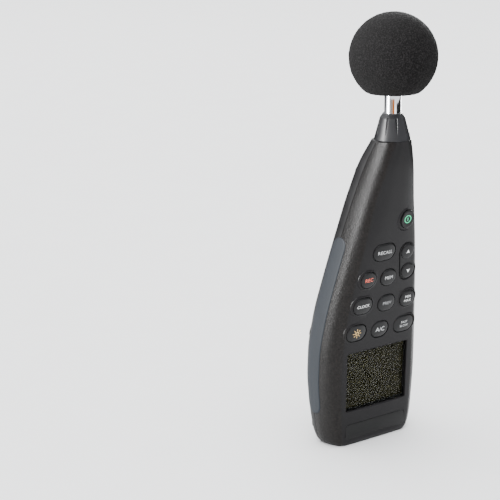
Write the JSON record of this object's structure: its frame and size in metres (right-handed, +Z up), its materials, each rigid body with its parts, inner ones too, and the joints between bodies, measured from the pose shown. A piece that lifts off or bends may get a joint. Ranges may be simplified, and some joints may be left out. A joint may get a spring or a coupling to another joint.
{
  "type": "sound level meter",
  "caption": "Hand-held sound level meter: waisted case with side grips, keypad, display, fluted collar, microphone stem and foam windscreen.",
  "frame": {"origin": "centre of the flat land on the foot that the meter stands on", "axes": "+Z up along the microphone stem, -Y out of the display and keys, +X to the right seen from the front"},
  "size_m": [0.0942, 0.0973, 0.349],
  "materials": {
    "case_plastic": "fine moulded texture, charcoal",
    "grip_rubber": "soft matt, blue grey",
    "collar_plastic": "smooth moulded, mid grey",
    "stem_chrome": "polished",
    "capsule_metal": "satin",
    "foam_black": "open-cell foam",
    "key_rubber": "satin moulded",
    "window_clear": "polished clear",
    "frame_black": "moulded",
    "lcd_panel": "dark olive display, off",
    "light_panel": "milky",
    "contact_rubber": "striped conductive rubber",
    "label_film": "satin, blank",
    "mat_rubber": "matt",
    "board_green": "solder mask",
    "screw_steel": "plated",
    "battery_jacket": "printed metal jacket",
    "insert_brass": "turned",
    "socket_black": "moulded",
    "socket_metal": "pressed",
    "trimmer_blue": "moulded",
    "trimmer_white": "moulded"
  },
  "bodies": {
    "case": {"front_shell": "case_plastic", "back_shell": "case_plastic", "grip_left": "grip_rubber", "grip_right": "grip_rubber", "neck_collar": "collar_plastic", "mic_tube": "stem_chrome", "mic_capsule": "capsule_metal", "mic_grid": "capsule_metal", "display_window": "window_clear", "display_frame": "frame_black", "lcd_glass": "lcd_panel", "backlight_panel": "light_panel", "zebra_strips": "contact_rubber", "label_plate": "label_film", "keypad_mat": "mat_rubber", "keypad_board": "board_green", "main_board": "board_green", "preamp_board": "board_green", "board_screws": "screw_steel", "battery": "battery_jacket", "battery_snap": "frame_black", "tripod_insert": "insert_brass", "output_jack": "socket_black", "usb_socket": "socket_metal", "cal_trimmer_body": "trimmer_blue", "case_screws": "screw_steel"},
    "power_key": {"power_key": "key_rubber"},
    "recall_key": {"recall_key": "key_rubber"},
    "up_key": {"up_key": "key_rubber"},
    "down_key": {"down_key": "key_rubber"},
    "record_key": {"record_key": "key_rubber"},
    "memory_key": {"memory_key": "key_rubber"},
    "clock_key": {"clock_key": "key_rubber"},
    "previous_key": {"previous_key": "key_rubber"},
    "minmax_key": {"minmax_key": "key_rubber"},
    "light_key": {"light_key": "key_rubber"},
    "weighting_key": {"weighting_key": "key_rubber"},
    "response_key": {"response_key": "key_rubber"},
    "windscreen": {"windscreen": "foam_black"},
    "battery_door": {"battery_door": "case_plastic"},
    "cal_trimmer": {"cal_trimmer_rotor": "trimmer_white"}
  },
  "joints": [
    {"name": "power_key_press", "type": "slide", "parent": "case", "child": "power_key", "axis": [0, 0.9843, 0.1762], "range_m": [0, 0.001], "stiffness_N_per_m": 200, "springref_m": -0.0005},
    {"name": "recall_key_press", "type": "slide", "parent": "case", "child": "recall_key", "axis": [0, 0.9843, 0.1762], "range_m": [0, 0.001], "stiffness_N_per_m": 200, "springref_m": -0.0005},
    {"name": "up_key_press", "type": "slide", "parent": "case", "child": "up_key", "axis": [0, 0.9843, 0.1762], "range_m": [0, 0.001], "stiffness_N_per_m": 200, "springref_m": -0.0005},
    {"name": "down_key_press", "type": "slide", "parent": "case", "child": "down_key", "axis": [0, 0.9843, 0.1762], "range_m": [0, 0.001], "stiffness_N_per_m": 200, "springref_m": -0.0005},
    {"name": "record_key_press", "type": "slide", "parent": "case", "child": "record_key", "axis": [0, 0.9843, 0.1762], "range_m": [0, 0.001], "stiffness_N_per_m": 200, "springref_m": -0.0005},
    {"name": "memory_key_press", "type": "slide", "parent": "case", "child": "memory_key", "axis": [0, 0.9843, 0.1762], "range_m": [0, 0.001], "stiffness_N_per_m": 200, "springref_m": -0.0005},
    {"name": "clock_key_press", "type": "slide", "parent": "case", "child": "clock_key", "axis": [0, 0.9843, 0.1762], "range_m": [0, 0.001], "stiffness_N_per_m": 200, "springref_m": -0.0005},
    {"name": "previous_key_press", "type": "slide", "parent": "case", "child": "previous_key", "axis": [0, 0.9843, 0.1762], "range_m": [0, 0.001], "stiffness_N_per_m": 200, "springref_m": -0.0005},
    {"name": "minmax_key_press", "type": "slide", "parent": "case", "child": "minmax_key", "axis": [0, 0.9843, 0.1762], "range_m": [0, 0.001], "stiffness_N_per_m": 200, "springref_m": -0.0005},
    {"name": "light_key_press", "type": "slide", "parent": "case", "child": "light_key", "axis": [0, 0.9843, 0.1762], "range_m": [0, 0.001], "stiffness_N_per_m": 200, "springref_m": -0.0005},
    {"name": "weighting_key_press", "type": "slide", "parent": "case", "child": "weighting_key", "axis": [0, 0.9843, 0.1762], "range_m": [0, 0.001], "stiffness_N_per_m": 200, "springref_m": -0.0005},
    {"name": "response_key_press", "type": "slide", "parent": "case", "child": "response_key", "axis": [0, 0.9843, 0.1762], "range_m": [0, 0.001], "stiffness_N_per_m": 200, "springref_m": -0.0005},
    {"name": "windscreen_pull", "type": "slide", "parent": "case", "child": "windscreen", "axis": [0, 0, 1], "range_m": [0, 0.06]},
    {"name": "battery_door_swing", "type": "hinge", "parent": "case", "child": "battery_door", "pos_m": [0, 0.02455, 0.0876], "axis": [1, 0, 0], "range_deg": [0, 65]},
    {"name": "cal_trimmer_turn", "type": "hinge", "parent": "case", "child": "cal_trimmer", "pos_m": [0.018, -0.013, 0.206], "axis": [1, 0, 0], "range_deg": [-135, 135]}
  ]
}
